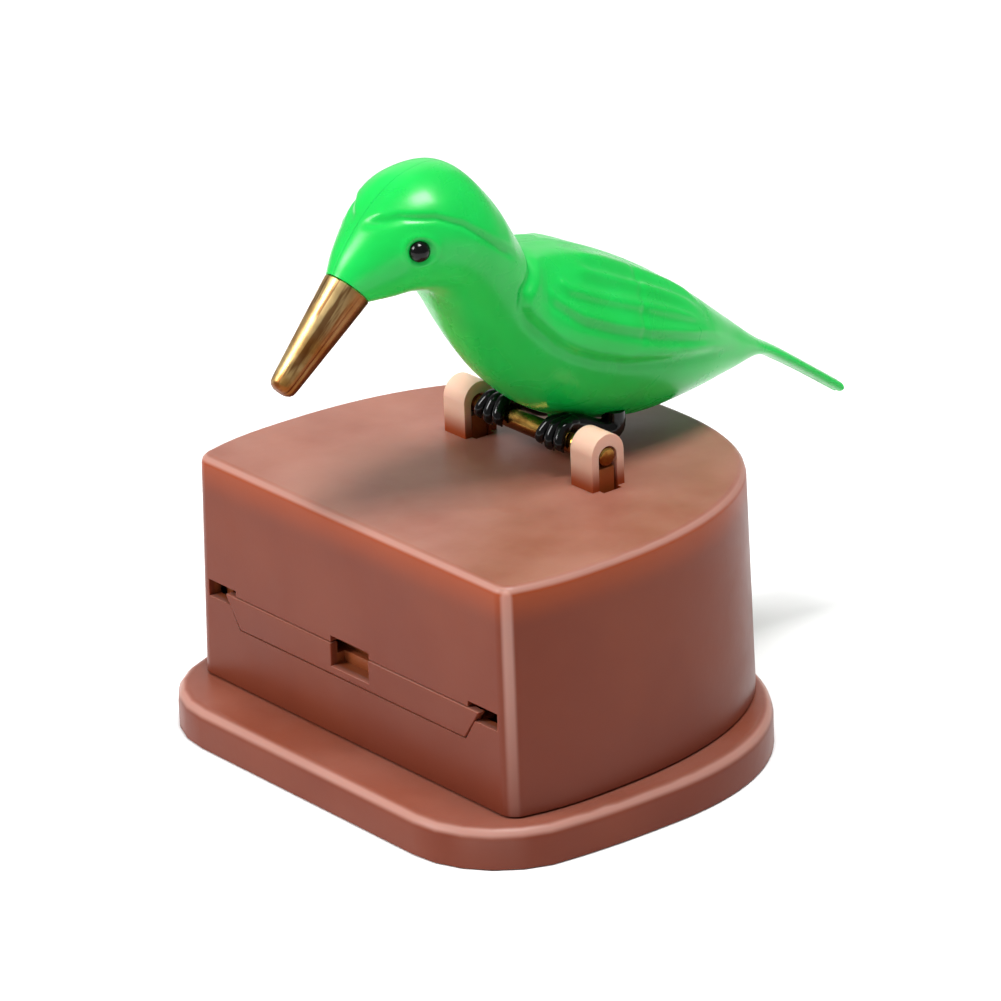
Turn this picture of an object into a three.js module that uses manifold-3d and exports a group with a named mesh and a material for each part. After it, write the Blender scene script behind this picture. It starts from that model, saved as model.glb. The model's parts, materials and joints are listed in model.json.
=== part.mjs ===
// A bird toothpick dispenser: a box with a tray in its front wall and a bird on a perch above it.
// Pressing the bird's head swings its bill down to the tray, which slides out with one toothpick.
// Millimetres. +Z is up and the flat front of the box faces -Y. The origin is on the underside of
// the base plate, in the middle of its width, under the middle of the box.
import * as THREE from "three";
import { mergeVertices } from "three/addons/utils/BufferGeometryUtils.js";
import Module from "manifold-3d";

const wasm = await Module();
wasm.setup();

// ---- driving dimensions ----
const GAP = 0.3; // clearance between neighbouring pieces
const FRONT_Y = -30; // front wall, at the top
const PLAN = { halfWidth: 40.3, widestY: -13.7, backReach: 50.6, frontReach: 36.5, power: 2.4 };
const FLANGE = { height: 6.6, frontY: -40.2, corner: 18, rim: 2 };
const FLANGE_PLAN = { halfWidth: 45.4, widestY: -5.8, backReach: 42.8, frontReach: 63.6, power: 2.4 };
const BOX = { top: 43.9, wall: 2, corner: 3, edge: 1.5, draft: 0.00054 };
const BASE = { floor: 2.5, spigotTop: 9.5, spigotWall: 1.6 };

const AXLE = { y: 7.3, z: 49, radius: 1.5 }; // the tilt axis, along X
const BRACKET = { inner: 13, outer: 18.2, halfWidth: 3.2, slot: 1.8, crown: 0.6 };
const PERCH_RADIUS = 1.7;
const TILT = THREE.MathUtils.degToRad(52); // full tilt of the bird

const LINK = { length: 9, droop: THREE.MathUtils.degToRad(25), half: 1.2, pin: 1.2 };
const CHEEK = { inner: 1.5, outer: 3.1 }; // the two side plates of the horn and of the crank
const CRANK = { y: AXLE.y, z: 9.75, hub: 3 };
const LINK_REACH = LINK.length * Math.cos(LINK.droop);
const LINK_DROP = LINK.length * Math.sin(LINK.droop);
const HORN_PIN = { y: AXLE.y + LINK_REACH, z: AXLE.z - LINK_DROP };
const CRANK_PIN = { y: CRANK.y + LINK_REACH, z: CRANK.z - LINK_DROP };
const DRIVE_PIN_Z = 19.2;
const DRIVE_PIN_Y = CRANK.y + (DRIVE_PIN_Z - CRANK.z) * Math.tan(TILT / 2);

const TRAY = { bottom: 17, top: 22, halfTop: 31.5, halfBottom: 28, proud: 0.4, rear: -4.5 };
const GROOVE = { y: -27.7, half: 1.4, floor: 20 };
const BILL_NOTCH = { half: 4.75, bottom: 18.2, top: 23.3 };
const END_NOTCH = { inner: 29, outer: 36, bottom: 20.4, top: 23.2 };
const TINE = { inner: 4.3, outer: 7, top: 21.5, rear: 14.4 };
const LINK_SLOT = { half: 3.5, ahead: 2.6, behind: 3.6 };
const MAGAZINE = { half: 33.4, wall: 1.5, rear: -3, top: 41.4 };
const RAMP = { half: 32.9, frontY: -14, crestY: -4.5, backY: -2.5, bottom: 22.4, nose: 1, crest: 34 };
const BOSS = { x: 29, y: 4, radius: 2.8, bottom: 15, screw: 1.1 };
const SPRING = { radius: 3.6, wire: 0.45, turns: 5, bottom: 26.8, top: 41.2 };
const COLLAR = { radius: 3.7, bottom: 24.2, top: 26 };

// The bird's mid-plane sections, from the bill to the tail's tip, measured from BIRD_ORIGIN:
// the (y, z) of the back, the (y, z) of the belly, and the half width.
const BIRD_ORIGIN = { y: 6, z: 49.7 };
const BIRD_SECTIONS = [
  { back: [-36.2, 34.2], belly: [-31.0, 28.6], half: 3.8 },
  { back: [-33.8, 37.9], belly: [-27.2, 28.5], half: 5.9 },
  { back: [-28.6, 43.3], belly: [-23.0, 28.5], half: 8.7 },
  { back: [-22.2, 46.9], belly: [-18.2, 26.8], half: 11.0 },
  { back: [-15.0, 47.2], belly: [-15.0, 21.6], half: 11.8 },
  { back: [-9.8, 42.7], belly: [-12.6, 16.8], half: 11.6 },
  { back: [-5.8, 36.6], belly: [-10.0, 12.6], half: 11.4 },
  { back: [-2.5, 31.0], belly: [-6.2, 8.0], half: 11.8 },
  { back: [6.0, 29.0], belly: [-0.8, 3.4], half: 12.7 },
  { back: [14.3, 25.5], belly: [6.4, -0.2], half: 13.2 },
  { back: [22.7, 20.8], belly: [16.4, -2.4], half: 12.9 },
  { back: [31.0, 14.9], belly: [26.6, -2.0], half: 11.0 },
  { back: [39.1, 8.3], belly: [36.9, -0.9], half: 7.6 },
  { back: [45.8, 2.8], belly: [45.2, -0.3], half: 4.4 },
  { back: [52.2, -1.4], belly: [51.8, -3.6], half: 3.4 },
  { back: [64.2, -10.0], belly: [63.6, -11.8], half: 2.4 },
];
const BIRD_WALL = 1.6;
const BILL = { base: [-33.5, 31.3], tip: [-47.2, 18.2], baseRadius: 3.9, tipRadius: 2.2, peg: 2.1 };
const EYE = { x: 8.1, y: -25.8, z: 37.4, radius: 1.7 };
const FOOT_X = 7.5;

// ---- finishes ----
const finish = (color, roughness, metalness) =>
  new THREE.MeshStandardMaterial({ color, roughness, metalness });
const BROWN_PLASTIC = finish(0x94523e, 0.42, 0);
const GREEN_PLASTIC = finish(0x2ecc5a, 0.38, 0);
const GOLD_PLATE = finish(0xb8862d, 0.25, 0.9);
const BLACK_PAINT = finish(0x0d0d0f, 0.2, 0);
const NATURAL_PLASTIC = finish(0xd9d2c4, 0.5, 0);
const STEEL = finish(0xb4b6ba, 0.3, 1);

// ---- solids: closed three.js geometries, cut and joined ----
function solid(geometry) {
  const bare = geometry.index ? geometry.toNonIndexed() : geometry.clone();
  bare.deleteAttribute("normal");
  bare.deleteAttribute("uv");
  const merged = mergeVertices(bare, 1e-4);
  return new wasm.Manifold(
    new wasm.Mesh({
      numProp: 3,
      vertProperties: merged.attributes.position.array,
      triVerts: new Uint32Array(merged.index.array),
    }),
  );
}

function geometryOf(manifold) {
  const mesh = manifold.getMesh();
  const geometry = new THREE.BufferGeometry();
  geometry.setAttribute("position", new THREE.BufferAttribute(mesh.vertProperties, 3));
  geometry.setIndex(new THREE.BufferAttribute(mesh.triVerts, 1));
  return geometry.toNonIndexed();
}

const join = (...pieces) => geometryOf(pieces.map(solid).reduce((a, b) => a.add(b)));
const cut = (piece, ...tools) => geometryOf(tools.map(solid).reduce((a, b) => a.subtract(b), solid(piece)));
const common = (a, b) => geometryOf(solid(a).intersect(solid(b)));

function box([x0, x1], [y0, y1], [z0, z1]) {
  const geometry = new THREE.BoxGeometry(x1 - x0, y1 - y0, z1 - z0);
  return geometry.translate((x0 + x1) / 2, (y0 + y1) / 2, (z0 + z1) / 2);
}

// A rod along X through (y, z).
function rodX(radius, [x0, x1], y, z, sides = 20) {
  const geometry = new THREE.CylinderGeometry(radius, radius, x1 - x0, sides);
  return geometry.rotateZ(Math.PI / 2).translate((x0 + x1) / 2, y, z);
}

// A rod along Z at (x, y).
function rodZ(radius, [z0, z1], x, y, sides = 20) {
  const geometry = new THREE.CylinderGeometry(radius, radius, z1 - z0, sides);
  return geometry.rotateX(Math.PI / 2).translate(x, y, (z0 + z1) / 2);
}

// A profile in the YZ plane, extruded along X.
function prismX(shape, [x0, x1], curveSegments = 8) {
  const geometry = new THREE.ExtrudeGeometry(shape, {
    depth: x1 - x0,
    bevelEnabled: false,
    curveSegments,
  });
  const turn = new THREE.Matrix4().makeBasis(
    new THREE.Vector3(0, 1, 0),
    new THREE.Vector3(0, 0, 1),
    new THREE.Vector3(1, 0, 0),
  );
  return geometry.applyMatrix4(turn).translate(x0, 0, 0);
}

const polygon = (points) => new THREE.Shape(points.map(([a, b]) => new THREE.Vector2(a, b)));
const mirrored = (pair, side) => (side > 0 ? pair : [-pair[1], -pair[0]]);

// A round bar along a curve.
function bar(curve, radius, steps, sides = 8) {
  const section = new THREE.Shape().absarc(0, 0, radius, 0, 2 * Math.PI, false);
  return new THREE.ExtrudeGeometry(section, {
    steps,
    extrudePath: curve,
    bevelEnabled: false,
    curveSegments: sides / 2,
  });
}

// ---- the box's plan: a rounded D, cut straight across its front ----
function sideX(plan, y, offset) {
  const reach = (y > plan.widestY ? plan.backReach : plan.frontReach) + offset;
  const along = Math.min(1, Math.abs(y - plan.widestY) / reach);
  return (plan.halfWidth + offset) * (1 - along ** plan.power) ** (1 / plan.power);
}

function planShape(plan, offset, frontY, corner) {
  const arcSteps = 6;
  const sideSteps = 34;
  const startY = frontY + corner;
  const centreX = sideX(plan, startY, offset) - corner;
  const half = [];
  for (let i = 0; i < arcSteps; i++) {
    const angle = -Math.PI / 2 + (i / arcSteps) * (Math.PI / 2);
    half.push([centreX + corner * Math.cos(angle), startY + corner * Math.sin(angle)]);
  }
  const backY = plan.widestY + plan.backReach + offset;
  for (let i = 0; i < sideSteps; i++) {
    const y = startY + (backY - startY) * Math.sin((i / sideSteps) * (Math.PI / 2));
    half.push([sideX(plan, y, offset), y]);
  }
  const other = half.map(([x, y]) => [-x, y]).reverse();
  return polygon([...half, [0, backY], ...other]);
}

function slab(plan, offset, frontY, corner, [z0, z1], rim = 0) {
  const rounded = rim > 0;
  const outline = planShape(plan, offset - rim, frontY + rim, corner - rim);
  const geometry = new THREE.ExtrudeGeometry(outline, {
    depth: z1 - z0 - 2 * rim,
    bevelEnabled: rounded,
    bevelThickness: rim,
    bevelSize: rim,
    bevelSegments: 3,
  });
  return geometry.translate(0, 0, z0 + rim);
}

// The walls lean out a little towards the base, as a moulding does.
function drafted(geometry) {
  const position = geometry.getAttribute("position");
  for (let i = 0; i < position.count; i++) {
    const grow = 1 + BOX.draft * (BOX.top - position.getZ(i));
    position.setX(i, position.getX(i) * grow);
    position.setY(i, position.getY(i) * grow);
  }
  return geometry;
}

// ---- base ----
function basePlate() {
  const plate = slab(FLANGE_PLAN, 0, FLANGE.frontY, FLANGE.corner, [-FLANGE.rim, FLANGE.height], FLANGE.rim);
  const flange = cut(plate, box([-60, 60], [-60, 60], [-10, 0]));
  const outer = -BOX.wall - GAP;
  const inner = outer - BASE.spigotWall;
  const spigot = drafted(slab(PLAN, outer, FRONT_Y - outer, BOX.corner, [BASE.floor, BASE.spigotTop]));
  const hollow = drafted(slab(PLAN, inner, FRONT_Y - inner, BOX.corner, [BASE.floor, BASE.spigotTop + 1]));
  return cut(join(flange, spigot), hollow);
}

// ---- housing ----
function bracketShape(halfWidth, bottom, crown) {
  const shape = new THREE.Shape();
  shape.moveTo(AXLE.y - halfWidth, bottom);
  shape.lineTo(AXLE.y + halfWidth, bottom);
  shape.lineTo(AXLE.y + halfWidth, crown);
  shape.absarc(AXLE.y, crown, halfWidth, 0, Math.PI, false);
  return shape;
}

// The tray's cross-section, wider at its top, extruded along Y.
function trapezoid(grow, [y0, y1]) {
  const shape = polygon([
    [-TRAY.halfBottom - grow, TRAY.bottom - grow],
    [TRAY.halfBottom + grow, TRAY.bottom - grow],
    [TRAY.halfTop + grow, TRAY.top + grow],
    [-TRAY.halfTop - grow, TRAY.top + grow],
  ]);
  const geometry = new THREE.ExtrudeGeometry(shape, { depth: y1 - y0, bevelEnabled: false });
  return geometry.rotateX(Math.PI / 2).translate(0, y1, 0);
}

// The opening in the front wall that the tray's lip fills, with its three notches.
function trayOpening() {
  const depth = [FRONT_Y - 3, FRONT_Y + BOX.wall + 0.5];
  const band = trapezoid(GAP, depth);
  const bill = box([-BILL_NOTCH.half, BILL_NOTCH.half], depth, [BILL_NOTCH.bottom, BILL_NOTCH.top]);
  const ends = [-1, 1].map((side) =>
    box(mirrored([END_NOTCH.inner, END_NOTCH.outer], side), depth, [END_NOTCH.bottom, END_NOTCH.top]),
  );
  return [band, bill, ...ends];
}

function housing() {
  const shell = drafted(
    cut(
      slab(PLAN, 0, FRONT_Y, BOX.corner, [-BOX.edge, BOX.top], BOX.edge),
      slab(PLAN, -BOX.wall, FRONT_Y + BOX.wall, BOX.corner, [-BOX.edge - 1, BOX.top - BOX.wall]),
      box([-60, 60], [-60, 60], [-10, FLANGE.height + GAP]),
    ),
  );
  const brackets = [];
  const slots = [];
  const bosses = [];
  const screwHoles = [];
  for (const side of [-1, 1]) {
    const width = mirrored([BRACKET.inner, BRACKET.outer], side);
    const through = mirrored([BRACKET.inner - 1, BRACKET.outer + 1], side);
    brackets.push(prismX(bracketShape(BRACKET.halfWidth, BOX.top - 1, AXLE.z + BRACKET.crown), width, 12));
    slots.push(prismX(bracketShape(BRACKET.slot, BOX.top - BOX.wall - 1, AXLE.z), through, 12));
    bosses.push(rodZ(BOSS.radius, [BOSS.bottom, BOX.top - 1], side * BOSS.x, BOSS.y));
    screwHoles.push(rodZ(BOSS.screw + GAP, [BOSS.bottom - 1, BOSS.bottom + 9], side * BOSS.x, BOSS.y, 14));
  }
  const linkSlot = box(
    [-LINK_SLOT.half, LINK_SLOT.half],
    [HORN_PIN.y - LINK_SLOT.ahead, HORN_PIN.y + LINK_SLOT.behind],
    [BOX.top - BOX.wall - 1, BOX.top + 1],
  );
  return cut(join(shell, ...brackets, ...bosses), ...slots, ...screwHoles, linkSlot, ...trayOpening());
}

function axleKeeper(side) {
  const stem = box(
    mirrored([BRACKET.inner + 0.4, BRACKET.outer - 0.4], side),
    [AXLE.y - BRACKET.slot + GAP, AXLE.y + BRACKET.slot - GAP],
    [BOX.top - BOX.wall - GAP - 1, AXLE.z - AXLE.radius - GAP],
  );
  const foot = box(
    mirrored([BRACKET.inner - 1.5, BRACKET.outer + 1.5], side),
    [AXLE.y - BRACKET.halfWidth - 0.5, AXLE.y + BRACKET.halfWidth + 0.5],
    [BOX.top - BOX.wall - GAP - 1.5, BOX.top - BOX.wall - GAP],
  );
  return join(stem, foot);
}

// The frame inside the housing: end walls of the magazine, tray rails, and the crank's bearing arms.
function chassis() {
  const pieces = [];
  const holes = [];
  const wallOuter = MAGAZINE.half + MAGAZINE.wall;
  const railZ = [TRAY.bottom - 2.1, TRAY.bottom - GAP];
  const sideRailZ = [railZ[0], 19.8];
  for (const side of [-1, 1]) {
    const frontY = FRONT_Y + BOX.wall + GAP;
    pieces.push(
      box(mirrored([MAGAZINE.half, wallOuter], side), [frontY, MAGAZINE.rear], [railZ[0], MAGAZINE.top]),
      box(mirrored([TRAY.halfBottom - 4, wallOuter - 0.5], side), [frontY, MAGAZINE.rear + 11], railZ),
      box(mirrored([TRAY.halfTop, MAGAZINE.half + 0.5], side), [frontY + 3, MAGAZINE.rear], sideRailZ),
      box(mirrored([5, 8], side), [-12, CRANK.y + 3], [7.5, 12.4]),
      box(mirrored([TRAY.halfBottom - 3, wallOuter - 1], side), [BOSS.y - 4, BOSS.y + 4], [13, railZ[1]]),
    );
    holes.push(
      rodX(LINK.pin + GAP, mirrored([4, 9], side), CRANK.y, CRANK.z),
      rodZ(BOSS.radius + GAP, [BOSS.bottom - GAP, BOSS.bottom + 9], side * BOSS.x, BOSS.y),
      rodZ(BOSS.screw + GAP, [12, BOSS.bottom + 1], side * BOSS.x, BOSS.y, 14),
    );
  }
  pieces.push(box([-wallOuter, wallOuter], [-12, -9], [11, railZ[1]]));
  return cut(join(...pieces), ...holes);
}

// The sloped floor of the magazine, over the tray's rear end.
function pickRamp() {
  const slope = polygon([
    [RAMP.frontY, RAMP.bottom],
    [RAMP.backY, RAMP.bottom],
    [RAMP.backY, RAMP.crest],
    [RAMP.crestY, RAMP.crest],
    [RAMP.frontY, RAMP.bottom + RAMP.nose],
  ]);
  return prismX(slope, [-RAMP.half, RAMP.half]);
}

function chassisScrew(side) {
  const head = rodZ(2.2, [11.2, 12.7], side * BOSS.x, BOSS.y, 16);
  const shank = rodZ(BOSS.screw, [12.6, 22], side * BOSS.x, BOSS.y, 12);
  const slot = box([side * BOSS.x - 3, side * BOSS.x + 3], [BOSS.y - 0.4, BOSS.y + 0.4], [11, 11.8]);
  return cut(join(head, shank), slot);
}

// ---- tray ----
function toothpickTray() {
  const plate = trapezoid(0, [FRONT_Y - TRAY.proud, TRAY.rear]);
  const tines = [-1, 1].map((side) =>
    box(mirrored([TINE.inner, TINE.outer], side), [TRAY.rear - 1, TINE.rear], [TRAY.bottom, TINE.top]),
  );
  const groove = box(
    [-40, 40],
    [GROOVE.y - GROOVE.half, GROOVE.y + GROOVE.half],
    [GROOVE.floor, TRAY.top + 1],
  );
  const notch = box(
    [-BILL_NOTCH.half, BILL_NOTCH.half],
    [FRONT_Y - 3, GROOVE.y],
    [BILL_NOTCH.bottom, TRAY.top + 1],
  );
  const pinHole = rodX(LINK.pin + GAP, [-10, 10], DRIVE_PIN_Y, DRIVE_PIN_Z);
  return cut(join(plate, ...tines), groove, notch, pinHole);
}

// ---- drive: horn on the bird, vertical link, bell crank, pins and spring ----
// An arm of even width with round ends, between two points of the YZ plane.
function arm([y0, z0], [y1, z1], radius, width) {
  const angle = Math.atan2(z1 - z0, y1 - y0);
  const shape = new THREE.Shape();
  shape.absarc(y0, z0, radius, angle + Math.PI / 2, angle + (3 * Math.PI) / 2, false);
  shape.absarc(y1, z1, radius, angle - Math.PI / 2, angle + Math.PI / 2, false);
  return prismX(shape, width, 10);
}

function pullLink() {
  const width = [-LINK.half, LINK.half];
  const rod = arm([CRANK_PIN.y, CRANK_PIN.z], [HORN_PIN.y, HORN_PIN.z], LINK.half, width);
  const collar = rodZ(COLLAR.radius, [COLLAR.bottom, COLLAR.top], 0, HORN_PIN.y, 24);
  const eyes = [CRANK_PIN, HORN_PIN].map((pin) => rodX(2.3, width, pin.y, pin.z));
  const holes = [CRANK_PIN, HORN_PIN].map((pin) => rodX(LINK.pin, [-3, 3], pin.y, pin.z));
  return cut(join(rod, collar, ...eyes), ...holes);
}

function bellCrank() {
  const lean = TILT / 2;
  const reach = 12;
  const slotFrom = 7.4;
  const along = (r) => [CRANK.y + r * Math.sin(lean), CRANK.z + r * Math.cos(lean)];
  const plates = [];
  for (const side of [-1, 1]) {
    const width = mirrored([CHEEK.inner, CHEEK.outer], side);
    plates.push(
      arm([CRANK.y, CRANK.z], along(reach - 2.6), 2.6, width),
      arm([CRANK.y, CRANK.z], [CRANK_PIN.y, CRANK_PIN.z], 2.1, width),
    );
  }
  const hub = rodX(CRANK.hub, [-CHEEK.outer - 0.8, CHEEK.outer + 0.8], CRANK.y, CRANK.z, 24);
  const fork = arm(along(slotFrom), along(reach + 4), LINK.pin + 0.28, [-5, 5]);
  const pivot = rodX(LINK.pin + GAP, [-6, 6], CRANK.y, CRANK.z);
  const pinHole = rodX(LINK.pin + GAP, [-6, 6], CRANK_PIN.y, CRANK_PIN.z);
  return cut(join(hub, ...plates), fork, pivot, pinHole);
}

function driveHorn() {
  const cheeks = [-1, 1].map((side) => {
    const width = mirrored([CHEEK.inner, CHEEK.outer], side);
    return arm([HORN_PIN.y, HORN_PIN.z], [HORN_PIN.y - 1, AXLE.z + 4], 2.2, width);
  });
  const block = box(
    [-CHEEK.outer, CHEEK.outer],
    [HORN_PIN.y - 4, HORN_PIN.y + 2],
    [AXLE.z + 3.2, AXLE.z + 7.2],
  );
  const hole = rodX(LINK.pin + GAP, [-5, 5], HORN_PIN.y, HORN_PIN.z);
  return cut(join(block, ...cheeks), hole);
}

function returnSpring() {
  const points = [];
  const stepsPerTurn = 12;
  const steps = SPRING.turns * stepsPerTurn;
  for (let i = 0; i <= steps; i++) {
    const angle = (i / stepsPerTurn) * 2 * Math.PI;
    const z = SPRING.bottom + ((SPRING.top - SPRING.bottom) * i) / steps;
    points.push(
      new THREE.Vector3(SPRING.radius * Math.cos(angle), HORN_PIN.y + SPRING.radius * Math.sin(angle), z),
    );
  }
  return bar(new THREE.CatmullRomCurve3(points), SPRING.wire, steps, 6);
}

// ---- bird ----
const onBird = ([y, z]) => new THREE.Vector3(0, BIRD_ORIGIN.y + y, BIRD_ORIGIN.z + z);

// A body with round sections: each one spans its back and belly points, and its half width.
function loft(sections, sides, rings) {
  const backs = new THREE.CatmullRomCurve3(sections.map((s) => onBird(s.back)), false, "centripetal");
  const bellies = new THREE.CatmullRomCurve3(sections.map((s) => onBird(s.belly)), false, "centripetal");
  const halves = new THREE.SplineCurve(sections.map((s, i) => new THREE.Vector2(i, s.half)));
  const geometry = new THREE.CylinderGeometry(1, 1, 1, sides, rings);
  const position = geometry.getAttribute("position");
  for (let i = 0; i < position.count; i++) {
    const t = position.getY(i) + 0.5;
    const back = backs.getPoint(t);
    const belly = bellies.getPoint(t);
    const middle = back.clone().add(belly).multiplyScalar(0.5);
    const up = back.clone().sub(middle);
    const half = halves.getPoint(t).y;
    const place = middle.addScaledVector(up, position.getZ(i));
    position.setXYZ(i, position.getX(i) * half, place.y, place.z);
  }
  return geometry;
}

// The same sections, drawn in by the wall's thickness, for the hollow.
function inset(sections, wall) {
  return sections.map(({ back, belly, half }) => {
    const height = Math.hypot(back[0] - belly[0], back[1] - belly[1]);
    const part = wall / height;
    const blend = (a, b) => [a[0] + (b[0] - a[0]) * part, a[1] + (b[1] - a[1]) * part];
    return { back: blend(back, belly), belly: blend(belly, back), half: half - wall };
  });
}

function birdShell(side) {
  const skin = loft(BIRD_SECTIONS, 28, 46);
  const hollow = loft(inset(BIRD_SECTIONS.slice(2, 13), BIRD_WALL), 16, 20);
  const halfSpace = box(mirrored([GAP / 2, 30], side), [-60, 90], [0, 120]);
  const hornSlot = box(
    [-CHEEK.outer - GAP, CHEEK.outer + GAP],
    [HORN_PIN.y - 4 - GAP, HORN_PIN.y + 3],
    [AXLE.z - 8, AXLE.z + 7.5],
  );
  const socket = bill(BILL.baseRadius + GAP, BILL.peg + GAP, 3.6);
  return cut(common(skin, halfSpace), hollow, hornSlot, socket, eyeball(side, EYE.radius + GAP));
}

// The bill is a taper with a thinner peg that runs back into the head.
function bill(baseRadius, pegRadius, pegLength) {
  const base = onBird(BILL.base);
  const tip = onBird(BILL.tip);
  const length = base.distanceTo(tip);
  const round = 0.9;
  const profile = [
    [0, -pegLength],
    [pegRadius, -pegLength],
    [pegRadius, 0],
    [baseRadius, 0],
    [BILL.tipRadius + (BILL.baseRadius - BILL.tipRadius) * 0.06, length - round],
    [BILL.tipRadius * 0.7, length],
    [0, length],
  ].map(([r, h]) => new THREE.Vector2(r, h));
  const geometry = new THREE.LatheGeometry(profile, 20);
  const axis = tip.clone().sub(base).normalize();
  const turn = new THREE.Quaternion().setFromUnitVectors(new THREE.Vector3(0, 1, 0), axis);
  return geometry.applyQuaternion(turn).translate(base.x, base.y, base.z);
}

function eyeball(side, radius) {
  const geometry = new THREE.SphereGeometry(radius, 16, 10);
  return geometry.translate(side * EYE.x, BIRD_ORIGIN.y + EYE.y, BIRD_ORIGIN.z + EYE.z);
}

function perch() {
  const rod = rodX(PERCH_RADIUS, [-BRACKET.inner + GAP, BRACKET.inner - GAP], AXLE.y, AXLE.z, 20);
  const journals = rodX(AXLE.radius, [-BRACKET.outer, BRACKET.outer], AXLE.y, AXLE.z, 20);
  return join(rod, journals);
}

// A foot: three toes over the perch, a hind toe under it, and a shank back up to the belly.
function foot(side) {
  const reach = PERCH_RADIUS + GAP + 0.75;
  const around = (degrees, r, x) => {
    const angle = THREE.MathUtils.degToRad(degrees);
    return new THREE.Vector3(x, AXLE.y + r * Math.cos(angle), AXLE.z + r * Math.sin(angle));
  };
  const pieces = [-1, 0, 1].map((toe) => {
    const spread = side * FOOT_X + toe * 1.9;
    const points = [70, 110, 150, 190].map((a, i) => {
      const x = side * FOOT_X + toe * 1.9 * (0.35 + (0.65 * i) / 3);
      return around(a, reach, i === 3 ? spread : x);
    });
    return bar(new THREE.CatmullRomCurve3(points), 0.8, 6, 6);
  });
  const hind = [70, 30, -10, -50].map((a) => around(a, reach, side * FOOT_X));
  pieces.push(bar(new THREE.CatmullRomCurve3(hind), 0.9, 6, 6));
  return join(...pieces);
}

// ---- assembly ----
function piece(name, geometry, material) {
  const mesh = new THREE.Mesh(geometry, material);
  mesh.name = name;
  mesh.geometry.computeVertexNormals();
  return mesh;
}

const dispenser = new THREE.Group();
dispenser.name = "bird_toothpick_dispenser";
const SIDES = [
  ["left", -1],
  ["right", 1],
];

function addBase() {
  dispenser.add(piece("base_plate", basePlate(), BROWN_PLASTIC));
}

function addHousing() {
  dispenser.add(piece("housing", housing(), BROWN_PLASTIC));
  dispenser.add(piece("chassis", chassis(), BROWN_PLASTIC));
  dispenser.add(piece("pick_ramp", pickRamp(), BROWN_PLASTIC));
  for (const [name, side] of SIDES) {
    dispenser.add(piece("chassis_screw_" + name, chassisScrew(side), STEEL));
    dispenser.add(piece("axle_keeper_" + name, axleKeeper(side), BROWN_PLASTIC));
  }
}

function addDrive() {
  dispenser.add(piece("crank_pivot_pin", rodX(LINK.pin, [-8, 8], CRANK.y, CRANK.z), STEEL));
  dispenser.add(piece("return_spring", returnSpring(), STEEL));
  dispenser.add(piece("pull_link", pullLink(), BROWN_PLASTIC));
  dispenser.add(piece("bell_crank", bellCrank(), NATURAL_PLASTIC));
  const linkPin = rodX(LINK.pin - 0.05, [-3.6, 3.6], CRANK_PIN.y, CRANK_PIN.z);
  dispenser.add(piece("crank_link_pin", linkPin, STEEL));
  dispenser.add(piece("toothpick_tray", toothpickTray(), BROWN_PLASTIC));
  dispenser.add(piece("tray_drive_pin", rodX(LINK.pin, [-7.4, 7.4], DRIVE_PIN_Y, DRIVE_PIN_Z), STEEL));
}

function addBird() {
  dispenser.add(piece("bill", bill(BILL.baseRadius, BILL.peg, 3), GOLD_PLATE));
  dispenser.add(piece("perch", perch(), GOLD_PLATE));
  dispenser.add(piece("drive_horn", driveHorn(), GREEN_PLASTIC));
  dispenser.add(piece("horn_pin", rodX(LINK.pin - 0.05, [-3.4, 3.4], HORN_PIN.y, HORN_PIN.z), STEEL));
  for (const [name, side] of SIDES) {
    dispenser.add(piece("bird_shell_" + name, birdShell(side), GREEN_PLASTIC));
    dispenser.add(piece("eye_" + name, eyeball(side, EYE.radius), BLACK_PAINT));
    dispenser.add(piece("foot_" + name, foot(side), BLACK_PAINT));
  }
}

addBase();
addHousing();
addDrive();
addBird();

export default dispenser;
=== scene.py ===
"""A bird toothpick dispenser: the looks of each piece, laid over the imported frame.

Metres. +Z is up, the flat front wall of the box faces -Y, and the bird tilts about an axle along X.
"""
import json
import logging
import math
from dataclasses import dataclass
from enum import Enum
from typing import Optional, Sequence

import bmesh
import bpy
from mathutils import Matrix, Vector


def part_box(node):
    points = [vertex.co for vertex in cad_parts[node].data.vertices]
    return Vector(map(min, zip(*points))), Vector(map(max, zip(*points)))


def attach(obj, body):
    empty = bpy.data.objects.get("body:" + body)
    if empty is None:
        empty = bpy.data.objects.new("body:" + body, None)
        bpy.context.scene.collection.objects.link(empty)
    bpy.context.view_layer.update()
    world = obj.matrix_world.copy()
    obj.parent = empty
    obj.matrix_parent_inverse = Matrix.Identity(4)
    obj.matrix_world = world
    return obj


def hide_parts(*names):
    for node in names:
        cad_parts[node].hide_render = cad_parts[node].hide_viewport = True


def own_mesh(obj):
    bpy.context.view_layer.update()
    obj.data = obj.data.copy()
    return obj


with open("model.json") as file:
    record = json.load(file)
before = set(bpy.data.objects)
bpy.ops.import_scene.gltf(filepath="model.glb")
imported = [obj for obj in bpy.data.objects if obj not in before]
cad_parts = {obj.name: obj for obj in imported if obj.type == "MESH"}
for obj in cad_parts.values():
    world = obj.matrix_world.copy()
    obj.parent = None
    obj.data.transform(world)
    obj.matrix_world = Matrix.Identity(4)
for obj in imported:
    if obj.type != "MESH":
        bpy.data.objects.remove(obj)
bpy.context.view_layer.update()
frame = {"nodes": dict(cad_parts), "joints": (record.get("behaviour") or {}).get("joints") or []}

LOG = logging.getLogger("dispenser")
MM = 0.001


# ---- places from the frame ----
def pivot(joint: str) -> Vector:
    """Gives the place of one of the frame's joints, in metres."""
    return Vector(next(row["pos_m"] for row in frame["joints"] if row["name"] == joint))


def middle(node: str) -> Vector:
    """Gives the middle of a CAD node at rest, in metres."""
    low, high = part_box(node)
    return (Vector(low) + Vector(high)) / 2


AXLE = pivot("bird_tilt")
LINK_PIN = pivot("link_pivot")
EYE = middle("eye_right")
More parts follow.
